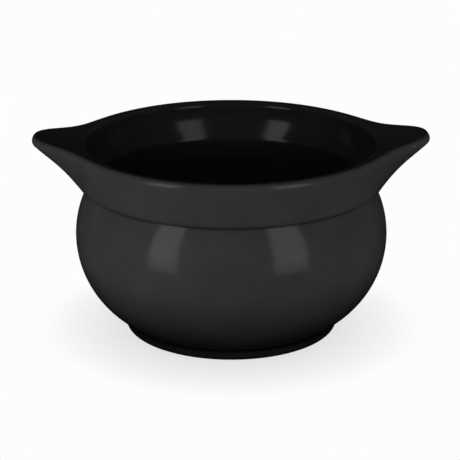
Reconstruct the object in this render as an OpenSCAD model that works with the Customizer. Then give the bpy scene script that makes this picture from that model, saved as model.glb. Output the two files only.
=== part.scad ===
// Onion soup crock: a round stoneware bowl with a flared collar, a foot ring and two lug ears.
// Millimetres, +Z up. The origin is the centre of the ring that it stands on, and +X runs through the right ear.

/* [Belly] */
// Radius of the belly at its widest
belly_r = 60.5; // [54:0.5:68]
// Height of the widest place
belly_z = 37.7; // [34:0.1:42]
// Radius of the belly's curve from foot to neck
belly_curve_r = 38.5; // [36:0.5:43]
// Thickness of the belly wall
wall = 4.8; // [4:0.1:6.5]
// Thickness of the floor
floor_t = 5; // [3.5:0.5:8]
// Radius of the curve between floor and wall
floor_curve_r = 20; // [8:1:25]

/* [Collar] */
// How far the neck, where the collar sits on the bowl, stands in from the widest place of the belly
neck_inset = 5.4; // [3.5:0.1:8]
// Thickness of the wall at the neck, which the narrow throat inside it leaves
neck_wall = 3; // [2.6:0.1:4]
// How far the throat's edge stands above the neck
throat_rise = 2.8; // [2:0.1:4]
// Radius of the hollow curve inside the collar, from the throat's edge to the lip
inside_curve_r = 23; // [20:1:40]
// Height of the collar from the neck to the rim
collar_h = 17.6; // [13:0.2:23]
// How far the outer edge of the lip stands in from the widest place of the belly
lip_inset = 0.1; // [-2:0.1:3]
// Radius of the rounded lip
lip_r = 1.9; // [1.6:0.1:2.3]
// Height of the tongue that locates the collar on the bowl
tongue_h = 1.4; // [1:0.1:1.6]
// Thickness of that tongue
tongue_t = 0.9; // [0.7:0.1:1.1]

/* [Foot] */
// How far the foot ring stands in from the widest place of the belly
foot_inset = 19; // [16:0.5:22]
// Width of the foot ring
foot_w = 7.5; // [6:0.5:10]
// Depth of the hollow under the floor
foot_hollow = 4; // [2.5:0.5:6]
// Radius of the foot ring's outer bottom edge
foot_round = 2; // [0.5:0.1:2.4]
// Width of the tongue that locates the foot ring
key_w = 2; // [1.5:0.1:3]
// Height of that tongue
key_h = 1.5; // [1:0.1:2]

/* [Ears] */
// How far an ear reaches out past the lip
ear_reach = 15.9; // [9:0.1:21]
// Angle from an ear's middle to half its reach
ear_half_angle = 12.3; // [9:0.1:16]
// How squarely an ear's shoulders turn
ear_square = 3.1; // [2.5:0.1:5]
// Radius of the ear's outer edge
ear_edge_r = 1.8; // [1.4:0.1:2.4]
// How far the tip stands above the rim
ear_rise = 2.4; // [0:0.1:4]
// How far the root of the ear runs down the bowl's shoulder
ear_drop = 2.4; // [0.8:0.1:4]
// How far the underside is hollowed
ear_hollow = 0.7; // [0:0.1:2]
// Angle from an ear's middle to its end in the collar
ear_span = 45; // [36:1:60]
// Depth of the socket in the collar
socket_depth = 1; // [0.8:0.1:1.3]

/* [Fits] */
// Thickness of the slip between members round their joints
slip_film = 0.1; // [0.05:0.01:0.2]

/* [Hidden] */
$fn = 180;
glaze = "#2b2b2b";
ear_steps = 48;
underside_steps = 5;
edge_steps = 8;
ear_lap = 0.4;
foot_inner_round = 1;
bite = 0.02;
past = 10;

// Belly
curve_x = belly_r - belly_curve_r;
inner_curve_r = belly_curve_r - wall;
floor_z = foot_hollow + floor_t;
function belly_x(z, r) = curve_x + sqrt(max(0, r * r - pow(z - belly_z, 2)));
fillet_z = floor_z + floor_curve_r;
fillet_off = inner_curve_r - floor_curve_r;
fillet_x = curve_x + sqrt(max(0, fillet_off * fillet_off - pow(fillet_z - belly_z, 2)));
fillet_end_z = belly_z + (fillet_z - belly_z) * inner_curve_r / fillet_off;

// Collar
neck_out = belly_r - neck_inset;
neck_z = belly_z + sqrt(max(0, pow(belly_curve_r, 2) - pow(neck_out - curve_x, 2)));
throat = [neck_out - neck_wall, neck_z + throat_rise];
lip_x = belly_r - lip_inset - lip_r;
rim_z = neck_z + collar_h;
lip_z = rim_z - lip_r;

// The place where a line from p touches a circle round c, on its right (turn = -1) or its left (turn = 1)
function heading(p, c) = atan2(c[1] - p[1], c[0] - p[0]);
function touch_angle(p, c, r, turn) = heading(p, c) + turn * asin(min(1, r / norm(c - p)));
function on_circle(c, r, a) = c + r * [cos(a), sin(a)];
lip_c = [lip_x, lip_z];
flare_angle = touch_angle([neck_out, neck_z], lip_c, lip_r, -1);
flare_top = on_circle(lip_c, lip_r, flare_angle - 90);

// The hollow curve inside the collar runs through the throat's edge and on to the lip
to_lip = lip_c - throat;
lip_reach = inside_curve_r + lip_r - bite;
along = (pow(inside_curve_r, 2) - pow(lip_reach, 2) + pow(norm(to_lip), 2)) / (2 * norm(to_lip));
across = sqrt(pow(inside_curve_r, 2) - along * along);
inside_c = throat + (along * to_lip + across * [-to_lip[1], to_lip[0]]) / norm(to_lip);
inside_top = on_circle(lip_c, lip_r, heading(lip_c, inside_c));

// Socket: its floor is a line that follows the collar's outer face, socket_depth behind it
function socket_x(z, gap) = neck_out + ((z - neck_z) * cos(flare_angle) - socket_depth + gap) / sin(flare_angle);
socket_off = lip_r - socket_depth + slip_film;
socket_top_angle = flare_angle - 90 + acos(socket_off / lip_r);
socket_top = on_circle(lip_c, lip_r, socket_top_angle);
slip_angle = slip_film / neck_out * 180 / PI;
tongue_mid = (throat[0] + socket_x(neck_z, 0)) / 2;

// Foot
foot_r = belly_r - foot_inset;
foot_in = foot_r - foot_w;
foot_meet_z = belly_z - sqrt(max(0, pow(belly_curve_r, 2) - pow(foot_r - curve_x, 2)));
foot_top = max(foot_hollow, foot_meet_z);
key_mid = foot_in + foot_w / 2;

// How much of an ear is there at angle a: 1 at its middle and 0 at its ends
function swell(a) = 1 / (1 + pow(abs(a) / ear_half_angle, ear_square));
function ear_share(a) = (swell(a) - swell(ear_span)) / (1 - swell(ear_span));

// One upright section of an ear at angle a, as [distance from the axis, height]
function ear_section(a) =
    let (
        share = ear_share(a),
        edge_r = lip_r + (ear_edge_r - lip_r) * share,
        edge_c = [lip_x + lip_r - edge_r + ear_reach * share, rim_z - edge_r + ear_rise * share],
        root_z = neck_z - ear_lap - (ear_drop - ear_lap) * share,
        root = [belly_x(root_z, belly_curve_r + slip_film), root_z],
        under = touch_angle(root, edge_c, edge_r, -1),
        under_end = on_circle(edge_c, edge_r, under - 90),
        top_end = touch_angle(socket_top, edge_c, edge_r, 1) + 90,
        hollow = ear_hollow * share * [-sin(under), cos(under)]
    )
    concat(
        [socket_top],
        [[socket_x(neck_z, slip_film), neck_z]],
        [[belly_x(neck_z, belly_curve_r + slip_film), neck_z]],
        [for (i = [0 : underside_steps - 1])
            let (s = i / underside_steps) root + s * (under_end - root) + 4 * s * (1 - s) * hollow],
        [for (i = [0 : edge_steps]) on_circle(edge_c, edge_r, under - 90 + i / edge_steps * (top_end - under + 90))]
    );

module half_plane_slice(low, high, reach) {
    translate([0, low]) square([reach, high - low]);
}

// Everything inside the belly's curve of radius r
module belly_area(r) {
    half_plane_slice(belly_z - r, belly_z + r, curve_x);
    translate([curve_x, belly_z]) circle(r);
}

module belly_slice(r, low, high) {
    intersection() {
        belly_area(r);
        half_plane_slice(low, high, belly_r + past);
    }
}

// The inside of the bowl: the belly's, and below it the floor with its curve
module bowl_hollow() {
    belly_slice(inner_curve_r, fillet_end_z, neck_z + past);
    half_plane_slice(belly_z, neck_z + past, throat[0]);
    intersection() {
        union() {
            half_plane_slice(floor_z, fillet_z, fillet_x);
            translate([fillet_x, fillet_z]) circle(floor_curve_r + bite);
        }
        half_plane_slice(floor_z, fillet_z, belly_r);
    }
}

// A ring of rectangular section round mid, grown by gap at its sides and its top
module ring_section(mid, width, low, height, gap) {
    translate([mid - width / 2 - gap, low]) square([width + 2 * gap, height + gap]);
}

module bowl_body() {
    color(glaze) rotate_extrude() {
        difference() {
            belly_slice(belly_curve_r, foot_hollow, neck_z);
            bowl_hollow();
            ring_section(key_mid, key_w, foot_hollow, key_h, slip_film);
        }
        ring_section(tongue_mid, tongue_t, neck_z, tongue_h, 0);
    }
}

module collar_section() {
    difference() {
        union() {
            polygon([[throat[0], neck_z], [neck_out, neck_z], flare_top, inside_top, throat]);
            translate(lip_c) circle(lip_r);
        }
        translate(inside_c) circle(inside_curve_r);
        ring_section(tongue_mid, tongue_t, neck_z, tongue_h, slip_film);
    }
}

module socket_section() {
    low = neck_z - past;
    high = rim_z + past;
    polygon([
        [socket_x(low, 0), low],
        [lip_x + past, low],
        [lip_x + past, high],
        [socket_x(high, 0), high]
    ]);
}

module rim_collar() {
    color(glaze) difference() {
        rotate_extrude() collar_section();
        for (middle = [0, 180])
            rotate([0, 0, middle - ear_span - slip_angle])
                rotate_extrude(angle = 2 * (ear_span + slip_angle)) socket_section();
    }
}

module foot_section() {
    difference() {
        union() {
            translate([foot_in + foot_inner_round, 0])
                square([foot_w - foot_inner_round - foot_round, foot_top]);
            translate([foot_in, foot_inner_round]) square([foot_w / 2, foot_top - foot_inner_round]);
            translate([foot_in + foot_w / 2, foot_round]) square([foot_w / 2, foot_top - foot_round]);
            translate([foot_in + foot_inner_round, foot_inner_round]) circle(foot_inner_round);
            translate([foot_r - foot_round, foot_round]) circle(foot_round);
        }
        intersection() {
            belly_area(belly_curve_r + slip_film);
            half_plane_slice(foot_hollow, foot_top + past, belly_r);
        }
    }
    ring_section(key_mid, key_w, foot_hollow, key_h, 0);
}

module foot_ring() {
    color(glaze) rotate_extrude() foot_section();
}

// An ear is a loft through its sections, capped at both ends
module ear() {
    sections = [for (k = [0 : ear_steps]) ear_section(ear_span * (2 * k / ear_steps - 1))];
    n = len(sections[0]);
    points = [for (k = [0 : ear_steps])
        let (a = ear_span * (2 * k / ear_steps - 1))
        for (p = sections[k]) [p[0] * cos(a), p[0] * sin(a), p[1]]];
    sides = [for (k = [0 : ear_steps - 1], i = [0 : n - 1])
        let (j = (i + 1) % n, here = k * n, next = (k + 1) * n)
        each [[here + i, next + j, here + j], [here + i, next + i, next + j]]];
    caps = [[for (i = [0 : n - 1]) i], [for (i = [n - 1 : -1 : 0]) ear_steps * n + i]];
    polyhedron(points, concat(sides, caps));
}

module right_ear() {
    color(glaze) ear();
}

module left_ear() {
    color(glaze) rotate([0, 0, 180]) ear();
}

bowl_body();
rim_collar();
foot_ring();
left_ear();
right_ear();
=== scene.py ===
from math import acos, asin, atan2, ceil, cos, hypot, pi, radians, sin, sqrt
from typing import NamedTuple

import bmesh
import bpy
from bpy.props import FloatProperty, FloatVectorProperty, IntProperty, PointerProperty
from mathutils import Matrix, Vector


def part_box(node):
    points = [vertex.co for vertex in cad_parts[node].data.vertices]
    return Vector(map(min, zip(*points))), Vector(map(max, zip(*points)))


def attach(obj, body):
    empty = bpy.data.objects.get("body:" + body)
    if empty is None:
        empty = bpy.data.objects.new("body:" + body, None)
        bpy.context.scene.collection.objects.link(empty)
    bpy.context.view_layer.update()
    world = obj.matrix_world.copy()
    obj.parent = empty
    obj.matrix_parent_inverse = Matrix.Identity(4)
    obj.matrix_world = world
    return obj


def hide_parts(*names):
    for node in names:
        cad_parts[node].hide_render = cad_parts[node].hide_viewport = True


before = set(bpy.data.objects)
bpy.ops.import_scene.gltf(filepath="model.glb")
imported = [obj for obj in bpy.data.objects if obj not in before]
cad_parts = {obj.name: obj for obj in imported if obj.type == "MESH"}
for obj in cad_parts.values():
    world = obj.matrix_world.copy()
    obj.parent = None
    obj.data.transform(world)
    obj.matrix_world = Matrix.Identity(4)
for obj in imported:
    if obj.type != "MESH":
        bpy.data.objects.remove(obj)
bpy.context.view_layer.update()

bl_info = {
    "name": "Onion Soup Crock",
    "version": (1, 0, 0),
    "blender": (4, 5, 0),
    "location": "View3D > Sidebar > Crock",
    "description": "Builds a black glazed stoneware soup crock with lug ears, and a plain studio round it",
    "category": "Object",
}

MM = 0.001
BOWL_LOW, BOWL_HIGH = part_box("bowl_body")
COLLAR_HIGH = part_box("rim_collar")[1]
FOOT_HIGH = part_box("foot_ring")[1]
EAR_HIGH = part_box("right_ear")[1]

# Faces that meet at a larger angle than this have a hard edge between them.
SHARP = radians(38)
# Points closer than the first length are one point, and edges shorter than the second are removed.
WELD, SLIVER = 1e-7, 1e-8
# Angles closer than this are the same angle.
SAME_ANGLE = 1e-6

# Steps along the sections of the collar and the ears
TOP_STEPS = 10
EDGE_STEPS = 22
UNDERSIDE_STEPS = 16
TURN_STEPS = 6
SEAT_STEPS = 3
SOCKET_STEPS = 12
# Rings of faces on the floor of the bowl, and under it
FLOOR_RINGS = 10
# Rounds in which an ear's slope and the curve above its crease settle
SETTLING_ROUNDS = 4


def linear(hex_colour):
    """The linear colour of an sRGB hex value."""
    parts = [int(hex_colour[i:i + 2], 16) / 255 for i in (1, 3, 5)]
    return [c / 12.92 if c <= 0.04045 else ((c + 0.055) / 1.055) ** 2.4 for c in parts]


def length(name, description, default):
    """A length property, in metres."""
    return FloatProperty(
        name=name, description=description, default=default, min=0, unit="LENGTH", precision=5)


def angle(name, description, degrees, low=-180, high=180):
    """An angle property, with its default and its limits in degrees."""
    return FloatProperty(
        name=name, description=description, default=radians(degrees), min=radians(low), max=radians(high),
        subtype="ANGLE")


def factor(name, description, default):
    """A property from 0, none, to 1, all."""
    return FloatProperty(
        name=name, description=description, default=default, min=0, max=1, subtype="FACTOR")


def watts(name, description, default):
    """A lamp's power."""
    return FloatProperty(
        name=name, description=description, default=default, min=0, max=200, unit="POWER")


def colour(name, description, hex_colour):
    """A colour property, with its default as an sRGB hex value."""
    return FloatVectorProperty(
        name=name, description=description, default=linear(hex_colour), size=3, min=0, max=1,
        subtype="COLOR")


class CrockShape(bpy.types.PropertyGroup):
    """Sizes of the crock's members"""
    belly_radius: length("Belly Radius", "Radius at the widest place of the belly", BOWL_HIGH.y)
    belly_height: length("Belly Height", "Height of the widest place", 37.7 * MM)
    belly_curve: length("Belly Curve", "Radius of the belly's curve from foot to neck", 38.5 * MM)
    wall: length("Wall", "Thickness of the belly wall", 4.8 * MM)
    floor: length("Floor", "Thickness of the floor", 5 * MM)
    floor_curve: length("Floor Curve", "Radius of the curve between floor and wall", 20 * MM)
    neck_inset: length("Neck Inset", "How far the neck stands in from the belly's widest place", 5.85 * MM)
    neck_wall: length("Neck Wall", "Thickness of the wall at the neck", 2.55 * MM)
    throat_rise: length("Throat Rise", "How far the throat's edge stands above the neck", 2.06 * MM)
    throat_round: length("Throat Round", "Radius of the throat's upper edge", 3.5 * MM)
    throat_foot: length("Throat Foot", "Radius of the throat's lower edge", 3 * MM)
    inside_curve: length("Inside Curve", "Radius of the hollow curve inside the collar", 23 * MM)
    crease_round: length("Crease Round", "Radius of the collar's lower edge, above the crease", 2.4 * MM)
    ear_crease: length("Ear Crease", "Radius of an ear's lower edge, above the crease", 0.6 * MM)
    rim_height: length("Rim Height", "Height of the rim", COLLAR_HIGH.z)
    lip_inset: length("Lip Inset", "How far the lip stands in from the belly's widest place", 0.1 * MM)
    lip: length("Lip Radius", "Radius of the lip's outer side", 1.9 * MM)
    lip_land: length("Lip Land", "Width of the level band on top of the lip", 1.2 * MM)
    lip_inner: length("Lip Inner Radius", "Radius of the lip's inner side", 2 * MM)
    foot_radius: length("Foot Radius", "Outer radius of the foot ring", FOOT_HIGH.x)
    foot_width: length("Foot Width", "Width of the foot ring", 7.5 * MM)
    foot_hollow: length("Foot Hollow", "Depth of the hollow under the floor", BOWL_LOW.z)
    foot_round: length("Foot Round", "Radius of the foot ring's outer bottom edge", 2 * MM)
    foot_fillet: length("Foot Fillet", "Radius of the soft hollow between belly and foot ring", 2 * MM)
    foot_inner_round: length("Foot Inner Round", "Radius of the foot ring's inner bottom edge", 1 * MM)
    hollow_cove: length("Hollow Cove", "Radius of the corner in the hollow under the floor", 1.2 * MM)
    bare_height: length("Bare Height", "How high the foot ring is wiped clean of glaze", 0.35 * MM)
    ear_tip: length("Ear Tip", "Distance of an ear's tip from the axis", EAR_HIGH.x)
    ear_top: length("Ear Top", "Height of an ear's tip", EAR_HIGH.z)
    ear_half_angle: angle("Ear Half Angle", "Angle from an ear's middle to half its reach", 12.3, 4, 30)
    ear_square: FloatProperty(
        name="Ear Squareness", description="How squarely an ear's shoulders turn", default=3.1,
        min=2, max=6)
    ear_span: angle("Ear Span", "Angle from an ear's middle to its end in the collar", 45, 30, 60)
    socket_depth: length("Socket Depth", "Depth of an ear's socket in the collar", 1 * MM)
    ear_edge: length("Ear Edge", "Radius of an ear's outer edge", 1.8 * MM)
    ear_lap: length("Ear Lap", "How far the collar's lower edge laps over the bowl", 0.4 * MM)
    ear_drop: length("Ear Drop", "How far an ear's root runs down the bowl's shoulder", 2.4 * MM)
    ear_hollow: length("Ear Hollow", "How far an ear's underside is hollowed", 0.7 * MM)
    turns: IntProperty(
        name="Columns", description="Columns of faces round the axis", default=360, min=72, max=720)


class CrockFinish(bpy.types.PropertyGroup):
    """Colours and surface of the glaze and of the bare clay"""
    glaze: colour("Glaze", "Colour of the glaze where it lies thick", "#323232")
    glaze_thin: colour("Thin Glaze", "Colour of the glaze where it has run a little thin", "#363635")
    # Painted shade: along the creases under the collar and above the foot, the glaze is darkened towards
    # this colour over a band this wide.
    glaze_pool: colour("Painted Crease Shade", "Colour of the glaze that has run together in a crease", "#0e0e0e")
    crease_shade_width: length("Crease Shade Width", "How far from a crease the glaze has run together", 1.6 * MM)
    glaze_roughness: factor("Glaze Roughness", "Roughness of the fired glaze", 0.14)
    clay: colour("Bare Clay", "Colour of the unglazed foot", "#6b6259")
    clay_dark: colour("Clay Specks", "Colour of the grog specks in the bare clay", "#4b443d")


class StudioSetup(bpy.types.PropertyGroup):
    """Camera, floor and light"""
    camera_distance: length("Camera Distance", "Distance from the camera to the crock", 700 * MM)
    camera_azimuth: angle("Camera Azimuth", "Angle of the camera round the crock", -1.75)
    camera_elevation: angle("Camera Elevation", "Angle of the camera above the floor", 18.91)
    camera_aim: FloatVectorProperty(
        name="Camera Aim", description="Point that the camera looks at", default=(-0.5 * MM, 0, 38 * MM),
        size=3, subtype="TRANSLATION", unit="LENGTH")
    lens: FloatProperty(
        name="Lens", description="Focal length in millimetres", default=140.2, min=10, max=300)
    floor_colour: colour("Floor", "Colour of the studio floor", "#fdfdfc")
    paper_lift: factor("Paper Lift", "How much the paper is lifted towards white where it is seen", 1)
    shadow_depth: factor("Shadow Depth", "How far the lift falls off in the shadow under the crock", 0.3)
    shadow_reach: length("Shadow Reach", "How far the soft shadow under the crock reaches", 27 * MM)
    cloth_colour: colour("Cloth", "Colour of the black cloth round the crock", "#0c0c0c")
    strip_left: FloatProperty(
        name="Left Strip", description="Radiance of the strip softbox on the left", default=0.82,
        min=0, max=20)
    strip_right: FloatProperty(
        name="Right Strip", description="Radiance of the strip softbox on the right", default=0.65,
        min=0, max=20)
    strip_fade: factor("Strip Fade", "Share of a strip's height over which its lower end fades", 0.2)
    strip_foot: factor("Strip Foot", "Share of a strip's light that is left at its lower end", 0.42)
    fill_left: watts("Left Fill", "Power of the broad fill on the left", 61.5)
    fill_right: watts("Right Fill", "Power of the broad fill on the right", 44)
    fill_front: watts("Front Fill", "Power of the small fill in front", 1.5)
    fill_back: watts("Back Fill", "Power of the broad fill at the back", 28)
    snoot: watts("Snoot", "Power of the narrow lamp above the mouth", 3)
    world_light: FloatProperty(
        name="World Light", description="Strength of the even light from all round", default=0.008,
        min=0, max=1)


# Profiles are lists of (distance from the axis, height), in metres.

def on_circle(centre, radius, direction):
    """The point on a circle in a direction from its centre."""
    return (centre[0] + radius * cos(direction), centre[1] + radius * sin(direction))


def arc(centre, radius, start, end, step=radians(4), count=None):
    """Points along an arc from one angle to another, both ends included, by a step or a count of steps."""
    count = count or max(2, ceil(abs(end - start) / step))
    return [on_circle(centre, radius, start + (end - start) * i / count) for i in range(count + 1)]


def straight(start, end, count):
    """Points along a line, without its last one."""
    return [tuple(a + (b - a) * i / count for a, b in zip(start, end)) for i in range(count)]


def touch_angle(point, centre, radius):
    """Direction of the line from a point that touches the right side of a circle."""
    dx, dy = centre[0] - point[0], centre[1] - point[1]
    return atan2(dy, dx) - asin(min(1, radius / hypot(dx, dy)))


class Crock:
    """The curves that the members share, worked out from the sizes."""

    def __init__(self, shape):
        self.shape = s = shape
        self.curve_c = (s.belly_radius - s.belly_curve, s.belly_height)
        self.inner_r = s.belly_curve - s.wall
        self.floor_z = s.foot_hollow + s.floor
        off = self.inner_r - s.floor_curve
        fillet_z = self.floor_z + s.floor_curve
        self.fillet_c = (self.curve_c[0] + sqrt(off ** 2 - (fillet_z - s.belly_height) ** 2), fillet_z)
        self.neck_out = s.belly_radius - s.neck_inset
        self.neck_z = s.belly_height + sqrt(s.belly_curve ** 2 - (self.neck_out - self.curve_c[0]) ** 2)
        self.lip_c = (s.belly_radius - s.lip_inset - s.lip, s.rim_height - s.lip)
        self.reach = s.ear_tip - self.lip_c[0] - s.lip
        self.rise = s.ear_top - s.rim_height
        # An ear's top touches the lip and the ear's edge at the same angle all round, so the lip's crest is
        # a circle.
        taper = s.lip - s.ear_edge
        out, up = taper + self.reach, taper + self.rise
        self.crest = pi / 2 + atan2(up, out) - asin(taper / hypot(out, up))
        self.crest_point = on_circle(self.lip_c, s.lip, self.crest)
        self.socket_foot = (self.neck_out - s.socket_depth, self.neck_z)
        self.throat = (self.neck_out - s.neck_wall, self.neck_z)
        self.inside()
        self.foot_joint()

    def belly_x(self, z):
        """Distance of the belly's outside from the axis at a height."""
        return self.curve_c[0] + sqrt(max(0, self.shape.belly_curve ** 2 - (z - self.curve_c[1]) ** 2))

    def inside(self):
        """The rounds above and below the throat, the hollow curve above them, and the lip's inner side."""
        s = self.shape
        land_end = on_circle(self.crest_point, s.lip_land, self.crest + pi / 2)
        inner_c = on_circle(land_end, -s.lip_inner, self.crest)
        # The hollow curve starts at the throat's edge, before that is rounded, and touches the lip.
        x, edge_z = self.throat[0], self.neck_z + s.throat_rise
        dx, dz = inner_c[0] - x, inner_c[1] - edge_z
        gap = hypot(dx, dz)
        along = (s.inside_curve ** 2 - (s.inside_curve + s.lip_inner) ** 2 + gap ** 2) / (2 * gap)
        across = sqrt(s.inside_curve ** 2 - along ** 2)
        hollow = (x + (along * dx - across * dz) / gap, edge_z + (along * dz + across * dx) / gap)
        # The upper round touches the throat's upright wall and the hollow curve.
        out = x + s.throat_round - hollow[0]
        upper = (x + s.throat_round, hollow[1] - sqrt((s.inside_curve + s.throat_round) ** 2 - out ** 2))
        start = atan2(hollow[1] - upper[1], hollow[0] - upper[0])
        end = atan2(inner_c[1] - hollow[1], inner_c[0] - hollow[0])
        self.inner_face = (straight(self.throat, (x, upper[1]), count=3)
                           + arc(upper, s.throat_round, pi, start, step=radians(6))[:-1]
                           + arc(hollow, s.inside_curve, start - pi, end, step=radians(2.5))[:-1]
                           + arc(inner_c, s.lip_inner, end + pi, self.crest, step=radians(6))
                           + [self.crest_point])
        # The lower round touches the belly's inside and the upright wall.
        out = x + s.throat_foot - self.curve_c[0]
        lower = (x + s.throat_foot, self.curve_c[1] + sqrt((self.inner_r + s.throat_foot) ** 2 - out ** 2))
        self.inner_end = atan2(lower[1] - self.curve_c[1], lower[0] - self.curve_c[0])
        self.throat_under = (arc(lower, s.throat_foot, self.inner_end + pi, pi, step=radians(5))[:-1]
                             + straight((x, lower[1]), self.throat, count=3))

    def foot_joint(self):
        """The soft hollow that touches the belly's curve and the foot ring's upright side."""
        s = self.shape
        to_fillet = s.belly_curve + s.foot_fillet
        self.foot_touch = -acos((s.foot_radius + s.foot_fillet - self.curve_c[0]) / to_fillet)
        centre = on_circle(self.curve_c, to_fillet, self.foot_touch)
        self.foot_cove = arc(centre, s.foot_fillet, self.foot_touch + pi, pi, step=radians(6))

    def root(self, share):
        """The crease where the collar or an ear meets the bowl's shoulder."""
        s = self.shape
        z = self.neck_z - s.ear_lap - (s.ear_drop - s.ear_lap) * share
        return (self.belly_x(z), z)

    def pool(self, place, width):
        """Painted shade near the creases at a place: 1 in a crease, and 0 from a width away."""
        turn = abs(atan2(place.y, place.x))
        under_collar = self.root(self.share(min(turn, pi - turn)))
        above_foot = self.foot_cove[len(self.foot_cove) // 2]
        out = hypot(place.x, place.y)
        gap = min(hypot(out - r, place.z - z) for r, z in (under_collar, above_foot))
        return max(0, 1 - gap / width)

    def share(self, turn):
        """How much of an ear is there at an angle from its middle: 1 there, 0 halfway to the other ear."""
        def swell(a):
            return 1 / (1 + (abs(a) / self.shape.ear_half_angle) ** self.shape.ear_square)
        return (swell(turn) - swell(pi / 2)) / (1 - swell(pi / 2))

    def outer_face(self, share):
        """From the lip's crest over an ear's top and edge and down its underside to the crease."""
        s = self.shape
        edge_r = s.lip + (s.ear_edge - s.lip) * share
        edge_c = (self.lip_c[0] + s.lip - edge_r + self.reach * share,
                  s.rim_height - edge_r + self.rise * share)
        turn_r = s.crease_round + (s.ear_crease - s.crease_round) * share
        turn_end = root = self.root(share)
        for _ in range(SETTLING_ROUNDS):
            under = touch_angle(turn_end, edge_c, edge_r)
            turn_c = on_circle(root, -turn_r, under - pi)
            turn_end = on_circle(turn_c, turn_r, under - pi / 2)
        edge_end = on_circle(edge_c, edge_r, under - pi / 2)
        hollow = (-sin(under) * s.ear_hollow * share, cos(under) * s.ear_hollow * share)
        underside = []
        for i in range(1, UNDERSIDE_STEPS):
            t = i / UNDERSIDE_STEPS
            bump = (4 * t * (1 - t)) ** 2
            underside.append(
                tuple(a + (b - a) * t + bump * h for a, b, h in zip(edge_end, turn_end, hollow)))
        top_end = on_circle(edge_c, edge_r, self.crest)
        edge = arc(edge_c, edge_r, self.crest, under - pi / 2, count=EDGE_STEPS)
        turn = arc(turn_c, turn_r, under - pi / 2, under - pi, count=TURN_STEPS)
        return straight(self.crest_point, top_end, TOP_STEPS) + edge + underside + turn

    def seat(self, share):
        """The lap on the bowl's shoulder, from the crease in to the neck."""
        low = self.root(share)[1]
        heights = [low + (self.neck_z - low) * i / SEAT_STEPS for i in range(1, SEAT_STEPS + 1)]
        return [(self.belly_x(z), z) for z in heights]


def make_piece(name, node, crock, verts, faces, materials):
    """A closed mesh piece that stands for a node and rides on the one body."""
    mesh = bpy.data.meshes.new(name)
    mesh.from_pydata(verts, [], faces)
    work = bmesh.new()
    work.from_mesh(mesh)
    bmesh.ops.remove_doubles(work, verts=work.verts, dist=WELD)
    bmesh.ops.dissolve_degenerate(work, edges=work.edges, dist=SLIVER)
    bmesh.ops.recalc_face_normals(work, faces=work.faces)
    loose = [e for e in work.edges if len(e.link_faces) != 2]
    if loose:
        raise RuntimeError(f"{name} isn't closed: {len(loose)} edges")
    for face in work.faces:
        face.smooth = True
    work.to_mesh(mesh)
    work.free()
    mesh.set_sharp_from_angle(angle=SHARP)
    # Each vertex keeps how much painted shade darkens the glaze there, near the creases.
    width = bpy.context.scene.crock_finish.crease_shade_width
    mesh.attributes.new("pool", "FLOAT", "POINT").data.foreach_set(
        "value", [crock.pool(vertex.co, width) for vertex in mesh.vertices])
    for material in materials:
        mesh.materials.append(material)
    piece = bpy.data.objects.new(name, mesh)
    bpy.context.scene.collection.objects.link(piece)
    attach(piece, "root")
    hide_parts(node)
    return piece


def round_angles(columns):
    """The angles of the columns round the axis."""
    return [2 * pi * k / columns for k in range(columns)]


def loft(sections, angles, around):
    """Vertices and faces of a skin through closed sections round the axis, closed all round or capped."""
    count = len(sections[0])
    verts = [(r * cos(a), r * sin(a), z) for section, a in zip(sections, angles) for r, z in section]
    faces = []
    for k in range(len(sections) if around else len(sections) - 1):
        here, there = k * count, (k + 1) % len(sections) * count
        for i in range(count):
            j = (i + 1) % count
            faces.append((here + i, there + i, there + j, here + j))
    if not around:
        faces.append(tuple(range(count)))
        faces.append(tuple(range((len(sections) - 1) * count, len(sections) * count)))
    return verts, faces


def turned(profile, columns):
    """Vertices and faces of a profile that runs from the axis back to the axis, turned right round it."""
    rings = profile[1:-1]
    verts, faces = loft([rings] * columns, round_angles(columns), True)
    count = len(rings)
    faces = [f for n, f in enumerate(faces) if n % count != count - 1]
    first, last = len(verts), len(verts) + 1
    verts += [(0, 0, profile[0][1]), (0, 0, profile[-1][1])]
    for k in range(columns):
        here, there = k * count, (k + 1) % columns * count
        faces.append((first, there, here))
        faces.append((last, here + count - 1, there + count - 1))
    return verts, faces


# Materials

def add_node(tree, kind, settings=None, **links):
    """Adds a node, sets its properties and its inputs, and links the inputs that are given a socket."""
    node = tree.nodes.new("ShaderNode" + kind)
    for key, value in (settings or {}).items():
        setattr(node, key, value)
    for key, value in links.items():
        # An input is named, or numbered with a leading underscore.
        socket = node.inputs[int(key[1:])] if key[1:].isdigit() else node.inputs[key.replace("_", " ")]
        if isinstance(value, bpy.types.NodeSocket):
            tree.links.new(value, socket)
        else:
            socket.default_value = value
    return node


def new_material(name):
    """An empty node material and its tree."""
    material = bpy.data.materials.new(name)
    material.use_nodes = True
    material.node_tree.nodes.clear()
    return material, material.node_tree


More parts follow.
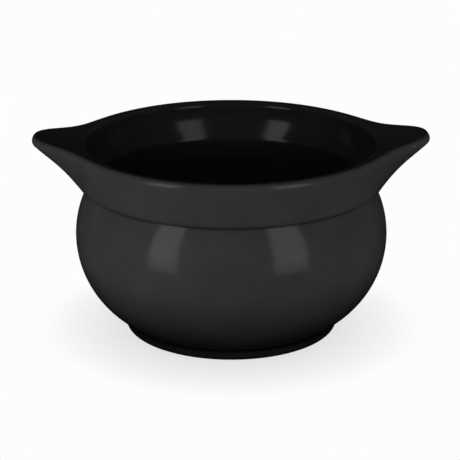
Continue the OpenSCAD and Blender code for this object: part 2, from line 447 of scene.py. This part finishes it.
def black_glaze(finish):
    """Black gloss glaze on stoneware, dipped and fired."""
    material = bpy.data.materials.get("black_gloss_glaze")
    if material:
        return material
    material, tree = new_material("black_gloss_glaze")
    # A glassy coat over a near black body: clear reflections of the lamps, a faint cloudiness where the dip
    # ran thicker or thinner, painted shade that darkens the colour along the creases under the collar and
    # above the foot, and a slight orange peel that keeps the reflections from being perfect.
    cloud_size, peel_size, speck_size = 14 * MM, 2.2 * MM, 0.7 * MM
    place = add_node(tree, "TexCoord").outputs["Object"]
    cloud = add_node(tree, "TexNoise", Vector=place, Scale=1 / cloud_size, Detail=3.0, Roughness=0.55)
    peel = add_node(tree, "TexNoise", Vector=place, Scale=1 / peel_size, Detail=2.0, Roughness=0.5)
    speck = add_node(tree, "TexNoise", Vector=place, Scale=1 / speck_size, Detail=1.0, Roughness=0.5)
    spread = add_node(tree, "MapRange", Value=cloud.outputs["Fac"], From_Min=0.35, From_Max=0.68)
    tint = add_node(tree, "Mix", {"data_type": "RGBA"}, Factor=spread.outputs["Result"],
                    _6=(*finish.glaze, 1), _7=(*finish.glaze_thin, 1)).outputs[2]
    # Painted shade: the colour is darker along the creases under the collar and above the foot.
    pool = add_node(tree, "Attribute", {"attribute_name": "pool"}).outputs["Fac"]
    tint = add_node(tree, "Mix", {"data_type": "RGBA"}, Factor=pool, _6=tint,
                    _7=(*finish.glaze_pool, 1)).outputs[2]
    gloss = add_node(tree, "MapRange", Value=cloud.outputs["Fac"], From_Min=0.3, From_Max=0.7,
                     To_Min=finish.glaze_roughness * 0.85, To_Max=finish.glaze_roughness * 1.2)
    ripple = add_node(tree, "Bump", Height=peel.outputs["Fac"], Strength=0.05, Distance=0.1 * MM)
    skin = add_node(tree, "Bump", Height=speck.outputs["Fac"], Strength=0.02, Distance=0.05 * MM,
                    Normal=ripple.outputs["Normal"])
    surface = add_node(tree, "BsdfPrincipled", Base_Color=tint, Roughness=gloss.outputs["Result"], IOR=1.5,
                       Normal=skin.outputs["Normal"])
    add_node(tree, "OutputMaterial", Surface=surface.outputs["BSDF"])
    return material


def bare_stoneware(finish):
    """Unglazed stoneware, wiped clean before firing so that the foot doesn't stick to the kiln shelf."""
    material = bpy.data.materials.get("bare_stoneware")
    if material:
        return material
    material, tree = new_material("bare_stoneware")
    # A dry, matt, slightly gritty surface: fine grog specks, a little under a millimetre apart, in a warm
    # grey body.
    grog_size, grit_size = 0.9 * MM, 0.5 * MM
    place = add_node(tree, "TexCoord").outputs["Object"]
    grog = add_node(tree, "TexVoronoi", Vector=place, Scale=1 / grog_size, Randomness=1.0)
    grit = add_node(tree, "TexNoise", Vector=place, Scale=1 / grit_size, Detail=3.0, Roughness=0.6)
    spread = add_node(tree, "MapRange", Value=grog.outputs["Distance"], From_Min=0.12, From_Max=0.42)
    tint = add_node(tree, "Mix", {"data_type": "RGBA"}, Factor=spread.outputs["Result"],
                    _6=(*finish.clay_dark, 1), _7=(*finish.clay, 1)).outputs[2]
    rough = add_node(tree, "Bump", Height=grit.outputs["Fac"], Strength=0.35, Distance=0.12 * MM)
    surface = add_node(tree, "BsdfPrincipled", Base_Color=tint, Roughness=0.85, IOR=1.5,
                       Normal=rough.outputs["Normal"])
    add_node(tree, "OutputMaterial", Surface=surface.outputs["BSDF"])
    return material


# Operators

class CROCK_OT_bowl(bpy.types.Operator):
    """Turn the belly wall and the floor"""
    bl_idname = "crock.bowl"
    bl_label = "Bowl"

    def execute(self, context):
        s = context.scene.crock_shape
        c = Crock(s)
        fillet_end = atan2(c.fillet_c[1] - s.belly_height, c.fillet_c[0] - c.curve_c[0])
        foot_start = -acos((s.foot_radius - c.curve_c[0]) / s.belly_curve)
        under_end = -asin((s.belly_height - s.foot_hollow) / s.belly_curve)
        neck = asin((c.neck_z - s.belly_height) / s.belly_curve)
        floor = straight((0, c.floor_z), (c.fillet_c[0], c.floor_z), FLOOR_RINGS)
        inside = (arc(c.fillet_c, s.floor_curve, -pi / 2, fillet_end)[:-1]
                  + arc(c.curve_c, c.inner_r, fillet_end, c.inner_end, step=radians(2.5))[:-1]
                  + c.throat_under)
        joint = straight(c.throat, (c.neck_out, c.neck_z), count=3)
        outside = arc(c.curve_c, s.belly_curve, neck, foot_start, step=radians(1))
        hidden = arc(c.curve_c, s.belly_curve, foot_start, under_end, step=radians(2))[1:]
        under = straight(hidden[-1], (0, s.foot_hollow), FLOOR_RINGS)[1:] + [(0, s.foot_hollow)]
        verts, faces = turned(floor + inside + joint + outside + hidden + under, s.turns)
        make_piece("bowl", "bowl_body", c, verts, faces, [black_glaze(context.scene.crock_finish)])
        return {"FINISHED"}


class CROCK_OT_collar(bpy.types.Operator):
    """Turn the flared collar and its lip, with a socket for each ear"""
    bl_idname = "crock.collar"
    bl_label = "Collar"

    def execute(self, context):
        s = context.scene.crock_shape
        c = Crock(s)
        inner = c.inner_face[:-1]
        joint = straight((c.neck_out, c.neck_z), c.socket_foot, count=2)[1:] + [c.socket_foot]
        sections, angles = [], []
        for a in round_angles(s.turns):
            ear = min(abs(a), abs(a - pi), abs(a - 2 * pi))
            share = c.share(ear)
            outer = c.outer_face(share) + c.seat(share)
            # A section through a socket has as many points as a plain one, and its last ones lie together.
            socket = straight(c.crest_point, c.socket_foot, len(outer) - 1) + [c.socket_foot]
            plain = inner + outer + joint
            cut = inner + socket + [c.socket_foot] * len(joint)
            if abs(ear - s.ear_span) < SAME_ANGLE:
                # Both sections stand at a socket's end, in the order that the angle runs.
                sections += [plain, cut] if cos(a) * sin(a) < 0 else [cut, plain]
                angles += [a, a]
            else:
                sections.append(cut if ear < s.ear_span else plain)
                angles.append(a)
        verts, faces = loft(sections, angles, True)
        make_piece("collar", "rim_collar", c, verts, faces, [black_glaze(context.scene.crock_finish)])
        return {"FINISHED"}


class CROCK_OT_ears(bpy.types.Operator):
    """Loft the two lug ears into their sockets"""
    bl_idname = "crock.ears"
    bl_label = "Ears"

    def execute(self, context):
        s = context.scene.crock_shape
        c = Crock(s)
        count = round(s.ear_span * s.turns / pi)
        back = straight(c.socket_foot, c.crest_point, SOCKET_STEPS)
        for name, node, middle in (("ear_right", "right_ear", 0), ("ear_left", "left_ear", pi)):
            sections, angles = [], []
            for k in range(count + 1):
                a = s.ear_span * (2 * k / count - 1)
                share = c.share(a)
                sections.append(c.outer_face(share) + c.seat(share) + back)
                angles.append(middle + a)
            verts, faces = loft(sections, angles, False)
            make_piece(name, node, c, verts, faces, [black_glaze(context.scene.crock_finish)])
        return {"FINISHED"}


class CROCK_OT_foot(bpy.types.Operator):
    """Turn the foot ring, with its bare underside"""
    bl_idname = "crock.foot"
    bl_label = "Foot Ring"

    def execute(self, context):
        s = context.scene.crock_shape
        c = Crock(s)
        outer, inner = s.foot_radius, s.foot_radius - s.foot_width
        out_c = (outer - s.foot_round, s.foot_round)
        in_c = (inner + s.foot_inner_round, s.foot_inner_round)
        cove_c = (inner - s.hollow_cove, s.foot_hollow - s.hollow_cove)
        low = -asin((s.belly_height - s.foot_hollow) / s.belly_curve)
        top = arc(c.curve_c, s.belly_curve, low, c.foot_touch, step=radians(1))[:-1] + c.foot_cove
        side = straight(top[-1], (outer, s.foot_round), count=3)[1:]
        out_turn = arc(out_c, s.foot_round, 0, -pi / 2, step=radians(6))
        flat = straight((out_c[0], 0), (in_c[0], 0), count=5)[1:]
        in_turn = arc(in_c, s.foot_inner_round, -pi / 2, -pi, step=radians(9))
        cove = arc(cove_c, s.hollow_cove, 0, pi / 2, step=radians(10))
        roof = straight(cove[-1], top[0], count=6)[1:]
        profile = top + side + out_turn + flat + in_turn + cove + roof
        verts, faces = loft([profile] * s.turns, round_angles(s.turns), True)
        finish = context.scene.crock_finish
        materials = [black_glaze(finish), bare_stoneware(finish)]
        piece = make_piece("foot", "foot_ring", c, verts, faces, materials)
        for face in piece.data.polygons:
            if face.center.z < s.bare_height:
                face.material_index = 1
        return {"FINISHED"}


# The studio, in metres

# The paper lies flat to this radius, sweeps up with a round, and ends at this height.
PAPER_FLAT, PAPER_SWEEP, PAPER_TOP = 6.5, 1.5, 2.5
PAPER_RINGS = (0.2, 0.5, 1, 2, 4)
SWEEP_STEPS = 6
# The black cloth lies just above the paper, from under the foot out to a curtain.
CLOTH_LIFT = 0.1 * MM
CLOTH_START, CLOTH_MIDDLE = 0.03, 0.5
CURTAIN_RADIUS, CURTAIN_TOP = 3, 1
# The low flag is a ring that keeps the fills off the foot.
FLAG_RADIUS, FLAG_LOW, FLAG_HIGH = 0.8, 12.5 * MM, 36.5 * MM
# Columns of faces round the paper, the cloth and the flag
STAGE_COLUMNS = 96
# The width of the camera's sensor, in millimetres
SENSOR_WIDTH = 36
CLIP_START, CLIP_END = 0.01, 50
# Rays that look for the crock from a point of the paper, for its soft shadow
SHADOW_SAMPLES = 4
# The snoot hangs above the mouth and lights a circle of this radius, this far below it.
SNOOT_HEIGHT, SNOOT_CIRCLE, SNOOT_DROP = 0.7, 57 * MM, 0.63
SNOOT_BLEND, SNOOT_BULB = 0.3, 0.02


class Lamp(NamedTuple):
    """A rectangular lamp that stands round the crock and faces its axis"""
    name: str
    azimuth: float
    distance: float
    middle: float
    width: float
    height: float
    mirrored: bool


# Azimuths are in degrees from the front, to the right, and middle is the height of a lamp's middle. The
# glaze mirrors only the strips.
LAMPS = (
    Lamp("strip_left", azimuth=-45.75, distance=0.25, middle=0.15, width=0.086, height=0.3, mirrored=True),
    Lamp("strip_right", azimuth=36.5, distance=0.25, middle=0.15, width=0.101, height=0.3, mirrored=True),
    Lamp("fill_left", azimuth=-66.5, distance=2.4, middle=0.075, width=2.8, height=0.064, mirrored=False),
    Lamp("fill_right", azimuth=62.5, distance=2.4, middle=0.075, width=2.8, height=0.064, mirrored=False),
    Lamp("fill_front", azimuth=0, distance=1.2, middle=0.235, width=0.6, height=0.15, mirrored=False),
    Lamp("fill_back", azimuth=180, distance=2.4, middle=0.075, width=3.2, height=0.064, mirrored=False),
)


def stage_sheet(name, profile, material, cap=False):
    """A sheet of the studio: an open profile turned right round the axis, with its middle closed or not."""
    columns = STAGE_COLUMNS
    verts = [(r * cos(a), r * sin(a), z) for r, z in profile for a in round_angles(columns)]
    faces = []
    for n in range(len(profile) - 1):
        here, there = n * columns, (n + 1) * columns
        for k in range(columns):
            j = (k + 1) % columns
            faces.append((here + k, there + k, there + j, here + j))
    if cap:
        faces.append(tuple(range(columns)))
    mesh = bpy.data.meshes.new(name)
    mesh.from_pydata(verts, [], faces)
    mesh.materials.append(material)
    sheet = bpy.data.objects.new(name, mesh)
    bpy.context.scene.collection.objects.link(sheet)
    return sheet


class CROCK_OT_stage(bpy.types.Operator):
    """Set up the camera, the floor and the lamps"""
    bl_idname = "crock.stage"
    bl_label = "Studio"

    def execute(self, context):
        studio = context.scene.crock_studio
        self.camera(context, studio)
        self.floor(studio)
        self.surround(studio)
        self.lamps(context, studio)
        self.snoot(context, studio)
        context.scene.view_settings.view_transform = "Standard"
        return {"FINISHED"}

    def camera(self, context, studio):
        """A camera at the photograph's angle."""
        az, el = studio.camera_azimuth, studio.camera_elevation
        back = Vector((sin(az) * cos(el), -cos(az) * cos(el), sin(el)))
        data = bpy.data.cameras.new("camera")
        data.lens = studio.lens
        data.sensor_width = SENSOR_WIDTH
        data.clip_start, data.clip_end = CLIP_START, CLIP_END
        camera = bpy.data.objects.new("camera", data)
        camera.location = Vector(studio.camera_aim) + back * studio.camera_distance
        camera.rotation_euler = (-back).to_track_quat("-Z", "Y").to_euler()
        context.scene.collection.objects.link(camera)
        context.scene.camera = camera

    def floor(self, studio):
        """A round of pale paper that sweeps up at its edge."""
        material, tree = new_material("pale_paper_sweep")
        # Seamless studio paper: matt and even. Where the camera, a reflection or a glass sees it, it is
        # lifted towards white, less so in the soft shadow near the crock.
        path = add_node(tree, "LightPath").outputs
        seen = add_node(tree, "Math", {"operation": "MAXIMUM"},
                        _0=path["Is Camera Ray"], _1=path["Is Glossy Ray"])
        seen = add_node(tree, "Math", {"operation": "MAXIMUM"},
                        _0=seen.outputs[0], _1=path["Is Transmission Ray"])
        open_sky = add_node(tree, "AmbientOcclusion", {"samples": SHADOW_SAMPLES},
                            Distance=studio.shadow_reach)
        shade = add_node(tree, "MapRange", Value=open_sky.outputs["AO"],
                         To_Min=studio.paper_lift * (1 - studio.shadow_depth), To_Max=studio.paper_lift)
        lift = add_node(tree, "Math", {"operation": "MULTIPLY"}, _0=seen.outputs[0], _1=shade.outputs[0])
        paper = add_node(tree, "BsdfDiffuse", Color=(*studio.floor_colour, 1))
        white = add_node(tree, "Emission", Color=(*studio.floor_colour, 1), Strength=1)
        shown = add_node(tree, "MixShader", Fac=lift.outputs[0], _1=paper.outputs[0], _2=white.outputs[0])
        add_node(tree, "OutputMaterial", Surface=shown.outputs[0])
        sweep = arc((PAPER_FLAT, PAPER_SWEEP), PAPER_SWEEP, -pi / 2, 0, count=SWEEP_STEPS)
        profile = [(r, 0) for r in PAPER_RINGS] + sweep + [(PAPER_FLAT + PAPER_SWEEP, PAPER_TOP)]
        floor = stage_sheet("floor", profile, material, cap=True)
        floor.data.shade_smooth()

    def surround(self, studio):
        """A black cloth with a curtain round it, and a low flag. The camera sees none of them."""
        material, tree = new_material("black_cloth")
        # Dull black cloth: it keeps the white paper out of the glaze, whose reflections are dark.
        dull = add_node(tree, "BsdfDiffuse", Color=(*studio.cloth_colour, 1))
        add_node(tree, "OutputMaterial", Surface=dull.outputs[0])
        profile = [(r, CLOTH_LIFT) for r in (CLOTH_START, CLOTH_MIDDLE, CURTAIN_RADIUS)]
        cloth = stage_sheet("black_cloth", profile + [(CURTAIN_RADIUS, CURTAIN_TOP)], material)
        cloth.visible_camera = cloth.visible_shadow = cloth.visible_transmission = False
        # The flag only casts a shadow, so that the belly darkens towards the foot.
        flag = stage_sheet("low_flag", [(FLAG_RADIUS, z) for z in (FLAG_LOW, FLAG_HIGH)], material)
        flag.visible_camera = flag.visible_diffuse = flag.visible_glossy = flag.visible_transmission = False

    def lamps(self, context, studio):
        """A dim world, and the lamps that stand round the crock."""
        world = bpy.data.worlds.new("studio_dark")
        world.use_nodes = True
        background = world.node_tree.nodes["Background"]
        background.inputs["Color"].default_value = (1, 1, 1, 1)
        background.inputs["Strength"].default_value = studio.world_light
        context.scene.world = world
        for lamp in LAMPS:
            az = radians(lamp.azimuth)
            data = bpy.data.lights.new(lamp.name, "AREA")
            data.shape = "RECTANGLE"
            data.size, data.size_y = lamp.width, lamp.height
            data.energy = getattr(studio, lamp.name)
            if lamp.mirrored:
                # A strip is set by its radiance, which is its power over its area and pi.
                data.energy *= pi * lamp.width * lamp.height
                self.fade(data, studio)
            item = bpy.data.objects.new(lamp.name, data)
            item.location = (lamp.distance * sin(az), -lamp.distance * cos(az), lamp.middle)
            item.rotation_euler = (pi / 2, 0, az)
            item.visible_camera = False
            item.visible_glossy = lamp.mirrored
            context.scene.collection.objects.link(item)

    def fade(self, data, studio):
        """Dims a strip towards its lower end, as a softbox does whose bulb is near its top."""
        data.use_nodes = True
        tree = data.node_tree
        tree.nodes.clear()
        place = add_node(tree, "NewGeometry").outputs["Parametric"]
        height = add_node(tree, "SeparateXYZ", Vector=place).outputs["Y"]
        share = add_node(tree, "MapRange", Value=height, From_Max=studio.strip_fade,
                         To_Min=studio.strip_foot)
        glow = add_node(tree, "Emission", Strength=share.outputs["Result"])
        add_node(tree, "OutputLight", Surface=glow.outputs["Emission"])

    def snoot(self, context, studio):
        """A narrow lamp that looks straight down into the crock and lights its floor."""
        data = bpy.data.lights.new("snoot", "SPOT")
        data.energy = studio.snoot
        data.spot_size = 2 * atan2(SNOOT_CIRCLE, SNOOT_DROP)
        data.spot_blend = SNOOT_BLEND
        data.shadow_soft_size = SNOOT_BULB
        snoot = bpy.data.objects.new("snoot", data)
        snoot.location = (0, 0, SNOOT_HEIGHT)
        snoot.visible_camera = snoot.visible_glossy = False
        context.scene.collection.objects.link(snoot)


class CROCK_PT_builder(bpy.types.Panel):
    """Buttons for each group of pieces, and the sizes and finishes that they use"""
    bl_label = "Soup Crock"
    bl_idname = "CROCK_PT_builder"
    bl_space_type = "VIEW_3D"
    bl_region_type = "UI"
    bl_category = "Crock"

    def draw(self, context):
        for operator in OPERATORS:
            self.layout.operator(operator.bl_idname)
        for group in (context.scene.crock_shape, context.scene.crock_finish, context.scene.crock_studio):
            box = self.layout.box()
            for name in group.__annotations__:
                box.prop(group, name)


GROUPS = (CrockShape, CrockFinish, StudioSetup)
OPERATORS = (CROCK_OT_bowl, CROCK_OT_collar, CROCK_OT_ears, CROCK_OT_foot, CROCK_OT_stage)


def register():
    for cls in (*GROUPS, *OPERATORS, CROCK_PT_builder):
        bpy.utils.register_class(cls)
    bpy.types.Scene.crock_shape = PointerProperty(type=CrockShape)
    bpy.types.Scene.crock_finish = PointerProperty(type=CrockFinish)
    bpy.types.Scene.crock_studio = PointerProperty(type=StudioSetup)


def unregister():
    del bpy.types.Scene.crock_studio
    del bpy.types.Scene.crock_finish
    del bpy.types.Scene.crock_shape
    for cls in reversed((*GROUPS, *OPERATORS, CROCK_PT_builder)):
        bpy.utils.unregister_class(cls)


def main():
    register()
    bpy.ops.crock.bowl()
    bpy.ops.crock.collar()
    bpy.ops.crock.ears()
    bpy.ops.crock.foot()
    bpy.ops.crock.stage()


if __name__ == "__main__":
    main()
